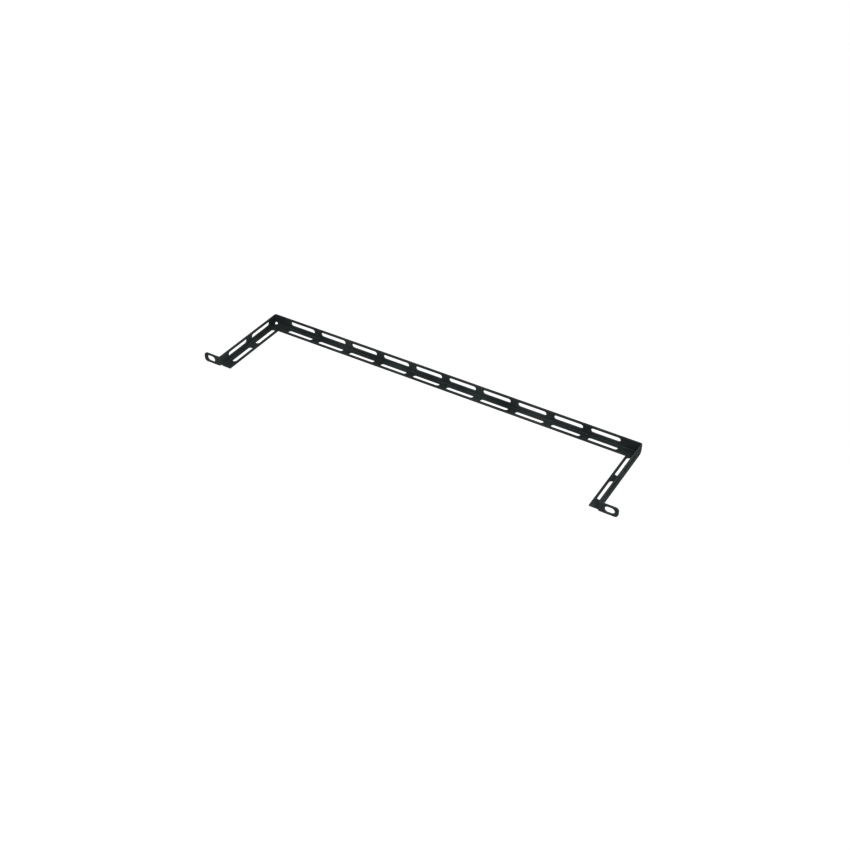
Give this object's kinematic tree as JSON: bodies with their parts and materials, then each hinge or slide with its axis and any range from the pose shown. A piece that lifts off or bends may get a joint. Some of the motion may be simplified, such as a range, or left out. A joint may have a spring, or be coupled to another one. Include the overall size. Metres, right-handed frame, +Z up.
{
  "type": "offset lacing bar",
  "caption": "Black folded sheet steel bar with rows of oblong lacing slots, set back from the rack rails by two slotted arms with outward screw ears.",
  "frame": {"origin": "on the rail face of the ears, midway between the two screw slots", "axes": "+X along the bar, +Y from the rails to the bar, +Z up from the shelf to the top of the wall"},
  "size_m": [0.4826, 0.1016, 0.0127],
  "materials": {
    "black_coat": "satin black coat, finely textured"
  },
  "bodies": {
    "root": {"lacing_bar": "black_coat"}
  },
  "joints": []
}
